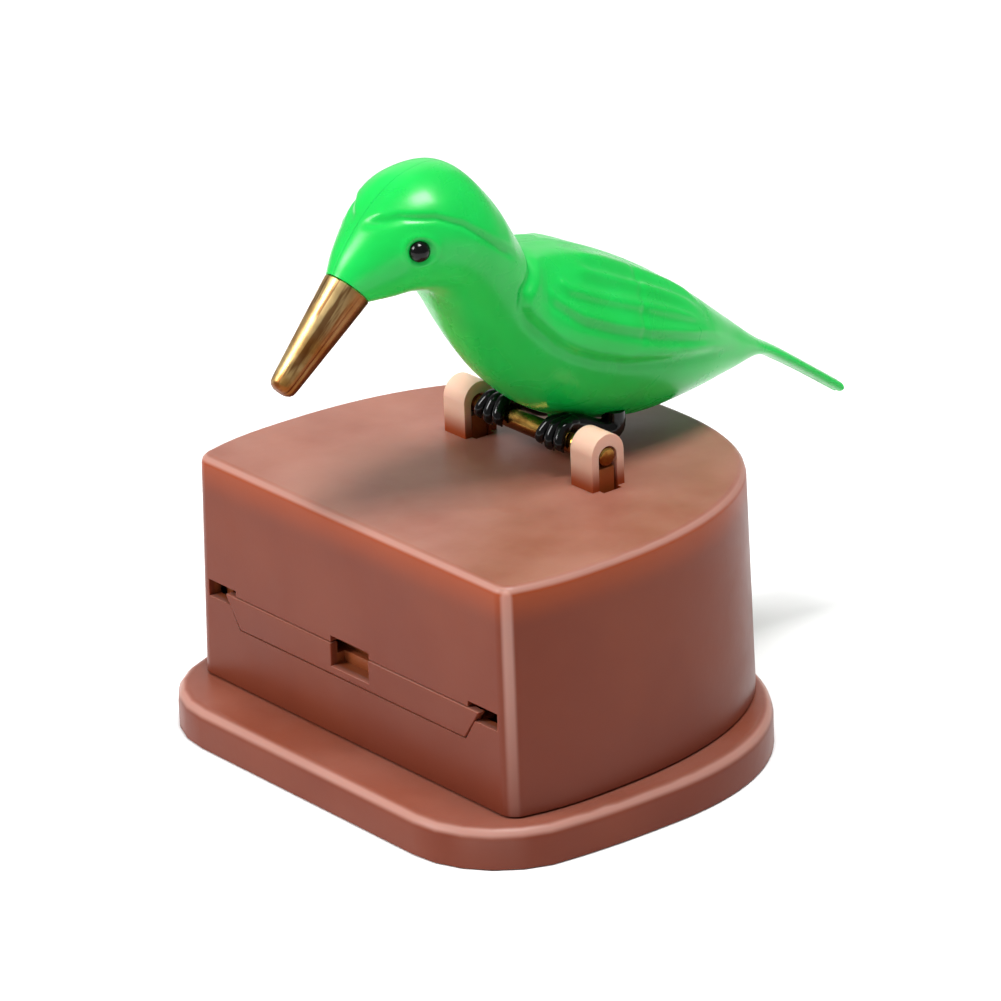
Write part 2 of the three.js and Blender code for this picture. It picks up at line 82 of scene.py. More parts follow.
# The bird's sections and its bill are measured from here, just in front of the axle.
BIRD_ORIGIN = AXLE + Vector((0.0, -1.3, 0.7)) * MM


class Side(Enum):
    """Which side of the bird a paired piece is on."""

    LEFT = -1
    RIGHT = 1


# ---- shader helpers ----
# The colour sockets of a Mix node: the two inputs, and the output.
MIX_UNDER = 6
MIX_OVER = 7
MIX_RESULT = 2


def linear(hex_value: str) -> tuple[float, float, float, float]:
    """Turns an sRGB hex colour into linear RGBA.

    Args:
        hex_value: six hex digits.

    Returns:
        The linear colour, with alpha 1.
    """
    parts = [int(hex_value[i : i + 2], 16) / 255 for i in (0, 2, 4)]
    toned = [c / 12.92 if c <= 0.04045 else ((c + 0.055) / 1.055) ** 2.4 for c in parts]
    return (toned[0], toned[1], toned[2], 1.0)


def add_node(tree: bpy.types.NodeTree, kind: str, settings: dict, links: dict) -> bpy.types.Node:
    """Adds one node with its settings and its incoming links.

    Args:
        tree: the node tree of a material or the world.
        kind: the node's type name.
        settings: attributes by name, or socket values by socket name or number.
        links: output sockets by the name or number of the input they go to.

    Returns:
        The new node.
    """
    node = tree.nodes.new(kind)
    # Attributes come first, because they decide which sockets the node has.
    for key, value in settings.items():
        if isinstance(key, str) and hasattr(node, key):
            setattr(node, key, value)
    for key, value in settings.items():
        if isinstance(key, int) or not hasattr(node, key):
            node.inputs[key].default_value = value
    for key, socket in links.items():
        tree.links.new(socket, node.inputs[key])
    return node


def metres(sizes_mm: Sequence[float]) -> tuple[float, ...]:
    """Turns millimetres into metres."""
    return tuple(size * MM for size in sizes_mm)


@dataclass(frozen=True)
class Finish:
    """A finish with a soft mottle in its colour and a fine grain in its surface."""

    name: str
    slot: str
    color: str
    shade: str
    roughness: float
    rough_spread: float
    mottle_mm: float
    grain_mm: float
    grain_depth_mm: float
    metallic: float = 0.0
    ior: float = 1.5
    coat: float = 0.0
    coat_roughness: float = 0.24
    scatter: float = 0.0
    scatter_mm: float = 1.0
    scatter_tint: tuple[float, float, float] = (1.0, 0.35, 0.2)

    def lay_over(
        self,
        tree: bpy.types.NodeTree,
        base: bpy.types.NodeSocket,
        color: str,
        most: float,
        limits: Sequence[tuple[bpy.types.NodeSocket, float, float]],
    ) -> bpy.types.NodeSocket:
        """Lays a colour over another where every one of some values is within its limits.

        Args:
            tree: the material's node tree.
            base: the colour underneath.
            color: the colour laid over it, in hex.
            most: how much of it shows where it is strongest.
            limits: each value, where its ramp is 0, and where it is 1.

        Returns:
            The mixed colour.
        """
        mask = None
        for value, low, high in limits:
            top = most if mask is None else 1.0
            span = {"From Min": low, "From Max": high, "To Max": top, "interpolation_type": "SMOOTHSTEP"}
            step = add_node(tree, "ShaderNodeMapRange", span, {"Value": value}).outputs[0]
            if mask is not None:
                pair = {0: mask, 1: step}
                step = add_node(tree, "ShaderNodeMath", {"operation": "MULTIPLY"}, pair).outputs[0]
            mask = step
        mixed = {"data_type": "RGBA", MIX_OVER: linear(color)}
        mix = add_node(tree, "ShaderNodeMix", mixed, {0: mask, MIX_UNDER: base})
        return mix.outputs[MIX_RESULT]

    def tone(self, tree: bpy.types.NodeTree, place: bpy.types.NodeSocket) -> bpy.types.NodeSocket:
        """Mixes the two tones of the colour with a slow noise.

        Args:
            tree: the material's node tree.
            place: the object coordinates.

        Returns:
            The colour socket.
        """
        settings = {"Scale": 1 / (self.mottle_mm * MM), "Detail": 3.0}
        mottle = add_node(tree, "ShaderNodeTexNoise", settings, {"Vector": place})
        shape = {"From Min": 0.32, "From Max": 0.68, "interpolation_type": "SMOOTHSTEP"}
        spread = add_node(tree, "ShaderNodeMapRange", shape, {"Value": mottle.outputs["Fac"]})
        tones = {
            "data_type": "RGBA",
            MIX_UNDER: linear(self.color),
            MIX_OVER: linear(self.shade),
        }
        mix = add_node(tree, "ShaderNodeMix", tones, {0: spread.outputs[0]})
        return mix.outputs[MIX_RESULT]

    def relief(self, tree: bpy.types.NodeTree, place: bpy.types.NodeSocket) -> bpy.types.NodeSocket:
        """Bumps the surface with the fine grain.

        Args:
            tree: the material's node tree.
            place: the object coordinates.

        Returns:
            The normal socket.
        """
        settings = {"Scale": 1 / (self.grain_mm * MM), "Detail": 4.0, "Roughness": 0.55}
        grain = add_node(tree, "ShaderNodeTexNoise", settings, {"Vector": place})
        bump = {"Strength": 1.0, "Distance": self.grain_depth_mm * MM}
        node = add_node(tree, "ShaderNodeBump", bump, {"Height": grain.outputs["Fac"]})
        return node.outputs["Normal"]

    def gloss(self, tree: bpy.types.NodeTree, place: bpy.types.NodeSocket) -> bpy.types.NodeSocket:
        """Varies the roughness in handled and rubbed patches.

        Args:
            tree: the material's node tree.
            place: the object coordinates.

        Returns:
            The roughness socket.
        """
        settings = {"Scale": 1 / (self.mottle_mm * 0.45 * MM), "Detail": 5.0, "Distortion": 0.6}
        patches = add_node(tree, "ShaderNodeTexNoise", settings, {"Vector": place})
        low = self.roughness - self.rough_spread
        high = self.roughness + self.rough_spread
        shape = {"From Min": 0.3, "From Max": 0.7, "To Min": low, "To Max": high}
        spread = add_node(tree, "ShaderNodeMapRange", shape, {"Value": patches.outputs["Fac"]})
        return spread.outputs[0]

    def material(self) -> bpy.types.Material:
        """Returns the material, made once and shared by the pieces that have this finish."""
        found = bpy.data.materials.get(self.name)
        if found is not None:
            return found
        made = bpy.data.materials.new(self.name)
        made.use_nodes = True
        tree = made.node_tree
        tree.nodes.clear()
        place = add_node(tree, "ShaderNodeTexCoord", {}, {}).outputs["Object"]
        constants = {
            "Metallic": self.metallic,
            "IOR": self.ior,
            "Coat Weight": self.coat,
            "Coat Roughness": self.coat_roughness,
            "Subsurface Weight": self.scatter,
            "Subsurface Radius": self.scatter_tint,
            "Subsurface Scale": self.scatter_mm * MM,
        }
        links = {
            "Base Color": self.tone(tree, place),
            "Roughness": self.gloss(tree, place),
            "Normal": self.relief(tree, place),
        }
        shader = add_node(tree, "ShaderNodeBsdfPrincipled", constants, links)
        add_node(tree, "ShaderNodeOutputMaterial", {}, {"Surface": shader.outputs[0]})
        made.diffuse_color = linear(self.color)
        return made


@dataclass(frozen=True)
class TranslucentFinish(Finish):
    """Moulded plastic with painted light: warm walls under the rim and in the slot, a sheen on tops,
    highlights on edges and lugs.
    """

    # Each pair of limits is where a colour starts to show and where it is strongest. Limits in mm
    # are places on the piece, the painted sheen's patch limits are levels of a noise, and the rest
    # are parts of the unit normal.
    # Painted light: upright walls near the rim are painted a warmer orange, as if lit through.
    painted_glow: str = "a8481a"
    painted_glow_most: float = 0.6
    painted_glow_z_mm: tuple[float, float] = (37.0, 43.5)
    upright: tuple[float, float] = (0.8, 0.2)
    # Painted reflection: faces that look up are painted paler in soft patches, for the sheen of the lamps.
    painted_sheen: str = "be8c7c"
    painted_sheen_most: float = 0.52
    painted_sheen_patch_mm: float = 24.0
    painted_sheen_patches: tuple[float, float] = (0.05, 0.75)
    painted_sheen_z_mm: tuple[float, float] = (-20.0, 43.0)
    level: tuple[float, float] = (0.8, 0.98)
    # Painted highlights: the rounded rims and the front corners are painted pale.
    painted_edge_highlight: str = "cfa396"
    painted_edge_highlight_most: float = 0.5
    edge_low: tuple[float, float] = (0.2, 0.6)
    edge_high: tuple[float, float] = (0.99, 0.8)
    corner_side: tuple[float, float] = (0.35, 0.6)
    corner_front: tuple[float, float] = (-0.4, -0.6)
    corner_z_mm: tuple[float, float] = (-5.0, 36.0)
    # Painted light: the cut faces of the tray slot are painted a lighter warm brown.
    lit_slot: str = "8f4a26"
    lit_slot_most: float = 0.85
    slot_front_mm: tuple[float, float] = (-29.6, -29.1)
    slot_back_mm: tuple[float, float] = (-25.0, -25.5)
    slot_top_mm: tuple[float, float] = (24.5, 24.0)
    slot_bottom_mm: tuple[float, float] = (16.5, 17.5)
    slot_end_mm: tuple[float, float] = (36.8, 36.2)
    # Painted light: the lugs at the top are painted pale, as if lit through.
    painted_lug_light: str = "eabfa9"
    painted_lug_light_most: float = 0.95
    painted_lug_light_z_mm: tuple[float, float] = (44.2, 48.8)

    def tone(self, tree: bpy.types.NodeTree, place: bpy.types.NodeSocket) -> bpy.types.NodeSocket:
        """Paints the light in: warmer walls under the rim and in the slots, a sheen on the tops, highlights
        on edges, corners and lugs.

        Args:
            tree: the material's node tree.
            place: the object coordinates.

        Returns:
            The colour socket.
        """
        at = add_node(tree, "ShaderNodeSeparateXYZ", {}, {"Vector": place}).outputs
        normal = add_node(tree, "ShaderNodeNewGeometry", {}, {}).outputs["Normal"]
        facing = add_node(tree, "ShaderNodeSeparateXYZ", {}, {"Vector": normal}).outputs
        sideways = add_node(tree, "ShaderNodeMath", {"operation": "ABSOLUTE"}, {0: facing["X"]}).outputs[0]
        beside = add_node(tree, "ShaderNodeMath", {"operation": "ABSOLUTE"}, {0: at["X"]}).outputs[0]
        cloudy = {"Scale": 1 / (self.painted_sheen_patch_mm * MM), "Detail": 4.0}
        # Soft patches of the painted sheen on the tops.
        sheen_patch_noise = add_node(tree, "ShaderNodeTexNoise", cloudy, {"Vector": place}).outputs["Fac"]
        rim = [(at["Z"], *metres(self.painted_glow_z_mm)), (facing["Z"], *self.upright)]
        tops = [
            (sheen_patch_noise, *self.painted_sheen_patches),
            (facing["Z"], *self.level),
            (at["Z"], *metres(self.painted_sheen_z_mm)),
        ]
        edges = [(facing["Z"], *self.edge_low), (facing["Z"], *self.edge_high)]
        corners = [
            (sideways, *self.corner_side),
            (facing["Y"], *self.corner_front),
            (at["Z"], *metres(self.corner_z_mm)),
        ]
        slots = [
            (at["Y"], *metres(self.slot_front_mm)),
            (at["Y"], *metres(self.slot_back_mm)),
            (at["Z"], *metres(self.slot_top_mm)),
            (at["Z"], *metres(self.slot_bottom_mm)),
            (beside, *metres(self.slot_end_mm)),
        ]
        lugs = [(at["Z"], *metres(self.painted_lug_light_z_mm))]
        color = Finish.tone(self, tree, place)
        # Painted light: warmer walls under the rim.
        color = self.lay_over(tree, color, self.painted_glow, self.painted_glow_most, rim)
        # Painted reflection: a pale sheen on the tops.
        color = self.lay_over(tree, color, self.painted_sheen, self.painted_sheen_most, tops)
        # Painted highlights along the rounded rims.
        color = self.lay_over(tree, color, self.painted_edge_highlight, self.painted_edge_highlight_most, edges)
        # Painted highlights down the front corners.
        color = self.lay_over(tree, color, self.painted_edge_highlight, self.painted_edge_highlight_most, corners)
        # Painted light in the tray slot.
        color = self.lay_over(tree, color, self.lit_slot, self.lit_slot_most, slots)
        # Painted light in the lugs.
        return self.lay_over(tree, color, self.painted_lug_light, self.painted_lug_light_most, lugs)


@dataclass(frozen=True)
class StreakedFinish(Finish):
    """Plating with dark streaks painted along the piece for its dark reflections, and shade painted where
    it faces down.
    """

    # Painted reflection: dark streaks along the piece for the dark surroundings it mirrors.
    painted_reflection_streak: str = "6a3410"
    painted_reflection_streak_most: float = 0.8
    painted_reflection_streak_levels: tuple[float, float] = (0.48, 0.64)
    # Painted shade: darker where the surface faces down.
    painted_underside_shade: str = "6a3010"
    painted_underside_shade_most: float = 0.85
    underside_normal: tuple[float, float] = (0.5, 0.0)
    across_mm: float = 1.1
    along_mm: float = 16.0
    turn: tuple[float, float, float] = (0.0, 0.0, 0.0)

    def tone(self, tree: bpy.types.NodeTree, place: bpy.types.NodeSocket) -> bpy.types.NodeSocket:
        """Lays painted dark reflections in streaks over the plating, and paints shade where it faces down.

        Args:
            tree: the material's node tree.
            place: the object coordinates.

        Returns:
            The colour socket.
        """
        normal = add_node(tree, "ShaderNodeTexCoord", {}, {}).outputs["Normal"]
        facing = add_node(tree, "ShaderNodeSeparateXYZ", {}, {"Vector": normal}).outputs
        grain = (self.across_mm * MM, self.across_mm * MM, self.along_mm * MM)
        turn = tuple(math.radians(angle) for angle in self.turn)
        settings = {"vector_type": "TEXTURE", "Rotation": turn, "Scale": grain}
        laid = add_node(tree, "ShaderNodeMapping", settings, {"Vector": place})
        fine = {"Scale": 1.0, "Detail": 2.0}
        noise = add_node(tree, "ShaderNodeTexNoise", fine, {"Vector": laid.outputs[0]})
        streaks = [(noise.outputs["Fac"], *self.painted_reflection_streak_levels)]
        below = [(facing["Z"], *self.underside_normal)]
        color = Finish.tone(self, tree, place)
        # Painted reflection: dark streaks along the piece.
        color = self.lay_over(tree, color, self.painted_reflection_streak, self.painted_reflection_streak_most, streaks)
        # Painted shade where the surface faces down.
        return self.lay_over(tree, color, self.painted_underside_shade, self.painted_underside_shade_most, below)


# Brown polystyrene, injection moulded: reddish, a little translucent, with a satin orange-peel skin.
BROWN_PLASTIC = TranslucentFinish(
    name="brown_polystyrene", slot="brown_plastic", color="793823", shade="723321",
    roughness=0.37, rough_spread=0.06, mottle_mm=26.0, grain_mm=1.3, grain_depth_mm=0.014,
    ior=1.27, scatter=0.25, scatter_mm=2.0,
)
# The same brown where no light falls through it: deeper and warmer, as in the slots.
SHADED_BROWN = TranslucentFinish(
    name="brown_polystyrene_inner", slot="brown_plastic", color="8c4a20", shade="7a3d1a",
    roughness=0.42, rough_spread=0.05, mottle_mm=14.0, grain_mm=1.3, grain_depth_mm=0.014,
    ior=1.34, scatter=0.25, scatter_mm=2.0, painted_lug_light="a8622c", painted_sheen="8c4a20",
)
# Bright green polystyrene, injection moulded: smooth satin gloss, with long soft highlights.
GREEN_PLASTIC = Finish(
    name="green_polystyrene", slot="green_plastic", color="12c850", shade="10be48",
    roughness=0.29, rough_spread=0.04, mottle_mm=14.0, grain_mm=1.1, grain_depth_mm=0.012,
    ior=1.34, coat=0.2, scatter=0.2, scatter_mm=1.5, scatter_tint=(0.3, 1.0, 0.3),
)
# Gold electroplate over brown plastic: a warm hazy mirror, with dark reflections painted in streaks
# down the bill, and shade painted where it faces down.
BILL_GOLD = StreakedFinish(
    name="gold_electroplate", slot="gold_plate", color="ecca8c", shade="bd8a46",
    roughness=0.36, rough_spread=0.05, mottle_mm=5.0, grain_mm=1.6, grain_depth_mm=0.012,
    metallic=1.0, turn=(-46.3, 0.0, 0.0),
)
# The same plating on the perch, where the painted reflection streaks run along the rod.
PERCH_GOLD = StreakedFinish(
    name="gold_electroplate_rod", slot="gold_plate", color="dcb25c", shade="a87a34",
    roughness=0.24, rough_spread=0.05, mottle_mm=4.0, grain_mm=1.6, grain_depth_mm=0.012,
    metallic=1.0, across_mm=1.6, along_mm=5.0, turn=(0.0, 90.0, 0.0),
)
# Black enamel paint, brushed on thick: deep and wet-looking, pooled smooth.
BLACK_ENAMEL = Finish(
    name="black_enamel", slot="black_paint", color="030303", shade="070708",
    roughness=0.16, rough_spread=0.05, mottle_mm=3.0, grain_mm=1.0, grain_depth_mm=0.012,
    ior=1.36,
)
# Natural polypropylene, moulded and unpainted: milky and matt, with a waxy edge.
NATURAL_PLASTIC = Finish(
    name="natural_polypropylene", slot="natural_plastic", color="d8d2c2", shade="c9c1ae",
    roughness=0.48, rough_spread=0.06, mottle_mm=9.0, grain_mm=0.9, grain_depth_mm=0.012,
    scatter=0.3, scatter_mm=1.5,
)
# Drawn steel wire and rod: grey, with fine rubbed patches.
DRAWN_STEEL = Finish(
    name="drawn_steel", slot="steel", color="b9bbbf", shade="9c9ea3",
    roughness=0.28, rough_spread=0.08, mottle_mm=4.0, grain_mm=0.7, grain_depth_mm=0.006,
    metallic=1.0,
)
# Seamless paper: white and quite matt.
STUDIO_PAPER = Finish(
    name="seamless_paper", slot="", color="f6f6f6", shade="f3f3f3",
    roughness=0.85, rough_spread=0.03, mottle_mm=60.0, grain_mm=2.0, grain_depth_mm=0.01,
)


# ---- mesh helpers ----
WELD_MM = 0.004
FLAT_DEGREES = 0.6
ROUNDED_OVER = 0.7  # radians between two faces, past which their edge is rounded


def shade(shape: bmesh.types.BMesh, sharp_degrees: float) -> None:
    """Shades every face smooth, and every edge over the given angle sharp.

    Args:
        shape: the mesh being worked on.
        sharp_degrees: the angle between faces above which an edge stays crisp.
    """
    limit = math.radians(sharp_degrees)
    for face in shape.faces:
        face.smooth = True
    for edge in shape.edges:
        edge.smooth = len(edge.link_faces) == 2 and edge.calc_face_angle(0.0) < limit


def finished(
    name: str,
    shape: bmesh.types.BMesh,
    finish: Finish,
    body: str,
    nodes: Sequence[str],
    sharp_degrees: float = 32.0,
) -> bpy.types.Object:
    """Makes an object of a finished mesh, dresses it, and ties it to its body.

    Args:
        name: the piece's name.
        shape: the mesh, in metres in the object's frame; freed here.
        finish: what the piece is made of.
        body: the moving body it rides on.
        nodes: the CAD nodes that it stands for.
        sharp_degrees: the angle above which an edge stays crisp.

    Returns:
        The new object.
    """
    shade(shape, sharp_degrees)
    mesh = bpy.data.meshes.new(name)
    shape.to_mesh(mesh)
    shape.free()
    mesh.materials.append(finish.material())
    piece = bpy.data.objects.new(name, mesh)
    bpy.context.scene.collection.objects.link(piece)
    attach(piece, body)
    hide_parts(*nodes)
    LOG.info("%s: %d faces, rides on %s", name, len(mesh.polygons), body)
    return piece


def clean_copy(node: str, bevel_mm: float) -> bmesh.types.BMesh:
    """Copies a CAD node's mesh, joins its loose triangles and rounds its sharp edges.

    Args:
        node: the CAD node's name.
        bevel_mm: the width of the rounding, or 0 for none.

    Returns:
        The new mesh.
    """
    shape = bmesh.new()
    shape.from_mesh(frame["nodes"][node].data)
    bmesh.ops.remove_doubles(shape, verts=shape.verts, dist=WELD_MM * MM)
    bmesh.ops.dissolve_degenerate(shape, dist=WELD_MM * MM, edges=shape.edges)
    bmesh.ops.dissolve_limit(
        shape, angle_limit=math.radians(FLAT_DEGREES), verts=shape.verts, edges=shape.edges,
        delimit=set(),
    )
    if bevel_mm > 0:
        sharp = [e for e in shape.edges if e.is_convex and e.calc_face_angle(0.0) > ROUNDED_OVER]
        bmesh.ops.bevel(
            shape, geom=sharp, offset=bevel_mm * MM, offset_type="OFFSET", affect="EDGES",
            segments=2, profile=0.5, material=-1, clamp_overlap=True,
        )
    return shape


def weight_normals(piece: bpy.types.Object) -> None:
    """Keeps big flat faces flat where they meet small rounded ones."""
    weights = piece.modifiers.new("face_weights", "WEIGHTED_NORMAL")
    weights.keep_sharp = True
    weights.weight = 100


def tube(
    shape: bmesh.types.BMesh, path: Sequence[Vector], radii: Sequence[float], sides: int
) -> None:
    """Adds a tapering round tube along a path, closed at both ends.

    Args:
        shape: the mesh to add to.
        path: the points of the centre line.
        radii: the radius at each point.
        sides: how many sides the tube has.
    """
    across: Optional[Vector] = None
    previous: list[bmesh.types.BMEdge] = []
    last = len(path) - 1
    for i, (point, radius) in enumerate(zip(path, radii)):
        tangent = (path[min(i + 1, last)] - path[max(i - 1, 0)]).normalized()
        if across is None:
            across = tangent.orthogonal().normalized()
        across = (across - tangent * across.dot(tangent)).normalized()
        other = tangent.cross(across)
        place = Matrix((across, other, tangent)).transposed().to_4x4()
        place.translation = point
        made = bmesh.ops.create_circle(
            shape, cap_ends=i in (0, last), segments=sides, radius=radius, matrix=place
        )
        ring = list({edge for vert in made["verts"] for edge in vert.link_edges})
        if previous:
            bmesh.ops.bridge_loops(shape, edges=previous + ring)
        previous = ring


def eased(value: float, low: float, high: float) -> float:
    """Rises smoothly from 0 at low to 1 at high."""
    part = min(1.0, max(0.0, (value - low) / (high - low)))
    return part * part * (3 - 2 * part)


def faded(part: float, rise: float, fall: float) -> float:
    """Rises from 0 at the start of a line to 1 at rise, and falls from fall to 0 at its end."""
    return eased(part, 0.0, rise) * (1 - eased(part, fall, 1.0))


def through(points: Sequence[Sequence[float]], at: float) -> list[float]:
    """Interpolates a list of equal-length rows with a smooth curve through them.

    Args:
        points: the rows.
        at: 0 at the first row and 1 at the last.

    Returns:
        The interpolated row.
    """
    span = at * (len(points) - 1)
    i = min(int(span), len(points) - 2)
    t = span - i
    rows = [points[min(max(j, 0), len(points) - 1)] for j in (i - 1, i, i + 1, i + 2)]
    out = []
    for a, b, c, d in zip(*rows):
        out.append(
            b + 0.5 * t * (c - a + t * (2 * a - 5 * b + 4 * c - d + t * (3 * (b - c) + d - a)))
        )
    return out


@dataclass(frozen=True)
class Line:
    """A line drawn on the bird's side view, as (y, z) points in millimetres."""

    points: tuple[tuple[float, float], ...]

    def nearest(self, y: float, z: float) -> tuple[float, float]:
        """Finds how far a point is from the line, and on which side.

        Args:
            y: the point's y in millimetres.
            z: the point's z in millimetres.

        Returns:
            The distance, positive to the left of the line's direction, and how far along it is.
        """
        best = (1e9, 0.0)
        last = len(self.points) - 1
        for i in range(last):
            ay, az = self.points[i]
            by, bz = self.points[i + 1]
            dy, dz = by - ay, bz - az
            raw = ((y - ay) * dy + (z - az) * dz) / (dy * dy + dz * dz)
            t = min(1.0, max(0.0, raw))
            oy, oz = y - ay - t * dy, z - az - t * dz
            distance = math.hypot(oy, oz)
            if distance < abs(best[0]):
                side = 1.0 if dy * oz - dz * oy >= 0 else -1.0
                best = (side * distance, (i + t) / last)
        return best


@dataclass(frozen=True)
class Ridge:
    """A rounded ridge in a surface, or a groove where its height is below 0."""

    height_mm: float
    width_mm: float
    offset_mm: float = 0.0

    def at(self, distance: float) -> float:
        """Gives the height at a distance from the ridge's line, both in millimetres."""
        return self.height_mm * math.exp(-(((distance - self.offset_mm) / self.width_mm) ** 2))


# ---- box ----
@dataclass
class Box:
    """The base plate and the housing with its brackets and tray slot."""

    rim_round_mm: float = 0.35
    base_round_mm: float = 0.3
    finish: Finish = BROWN_PLASTIC

    def build_base(self) -> bpy.types.Object:
        """Builds the base plate with its rounded flange."""
        shape = clean_copy("base_plate", self.base_round_mm)
        piece = finished("flanged_base", shape, self.finish, "base", ["base_plate"])
        weight_normals(piece)
        return piece

    def build_housing(self) -> bpy.types.Object:
        """Builds the housing, with its edges softened as a moulding's are."""
        shape = clean_copy("housing", self.rim_round_mm)
        piece = finished("box_shell", shape, self.finish, "housing", ["housing"])
        weight_normals(piece)
        return piece

    def build(self) -> None:
        """Builds both pieces."""
        self.build_base()
        self.build_housing()


@dataclass(frozen=True)
class RoundedPart:
    """A part whose CAD shape only wants its edges rounded."""

    node: str
    body: str
    finish: Finish
    round_mm: float
    swell_mm: float = 0.0

    def build(self) -> bpy.types.Object:
        """Builds the part, and swells it a little where the line round it should close."""
        shape = clean_copy(self.node, self.round_mm)
        if self.swell_mm > 0:
            shape.normal_update()
            for vert in shape.verts:
                vert.co += vert.normal * self.swell_mm * MM
        piece = finished(self.node + "_moulded", shape, self.finish, self.body, [self.node])
        weight_normals(piece)
        return piece


@dataclass
class Works:
    """The parts inside the box and under the bird: chassis, tray, links, pins and spring."""

    wire_mm: float = 0.45
    coil_mm: float = 3.6
    turns: int = 5
    spring_bottom_mm: float = 26.8
    spring_top_mm: float = 41.2
    steps_per_turn: int = 28
    wire_sides: int = 12
    rounded: tuple[RoundedPart, ...] = (
        RoundedPart("chassis", "housing", SHADED_BROWN, 0.2),
        RoundedPart("pick_ramp", "housing", SHADED_BROWN, 0.3),
        RoundedPart("chassis_screw_left", "housing", DRAWN_STEEL, 0.12),
        RoundedPart("chassis_screw_right", "housing", DRAWN_STEEL, 0.12),
        RoundedPart("axle_keeper_left", "housing", SHADED_BROWN, 0.15),
        RoundedPart("axle_keeper_right", "housing", SHADED_BROWN, 0.15),
        RoundedPart("crank_pivot_pin", "housing", DRAWN_STEEL, 0.15),
        RoundedPart("pull_link", "link", SHADED_BROWN, 0.15),
        RoundedPart("bell_crank", "crank", NATURAL_PLASTIC, 0.15),
        RoundedPart("crank_link_pin", "crank", DRAWN_STEEL, 0.15),
        RoundedPart("toothpick_tray", "tray", BROWN_PLASTIC, 0.2, swell_mm=0.12),
        RoundedPart("tray_drive_pin", "tray", DRAWN_STEEL, 0.15),
        RoundedPart("drive_horn", "bird", GREEN_PLASTIC, 0.2),
        RoundedPart("horn_pin", "bird", DRAWN_STEEL, 0.15),
    )

    def build_spring(self) -> bpy.types.Object:
        """Builds the coil spring at its rest length, riding on the housing.

        Returns:
            The spring.
        """
        shape = bmesh.new()
        steps = self.turns * self.steps_per_turn
        rise = self.spring_top_mm - self.spring_bottom_mm
        path = []
        for i in range(steps + 1):
            angle = i / self.steps_per_turn * math.tau
            x = self.coil_mm * math.cos(angle)
            y = LINK_PIN.y / MM + self.coil_mm * math.sin(angle)
            path.append(Vector((x, y, self.spring_bottom_mm + rise * i / steps)) * MM)
        tube(shape, path, [self.wire_mm * MM] * len(path), self.wire_sides)
        piece = finished("coil_spring", shape, DRAWN_STEEL, "housing", ["return_spring"], 60)
        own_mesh(piece)
        return piece

    def build(self) -> None:
        """Builds every part of the works."""
        for part in self.rounded:
            part.build()
        self.build_spring()


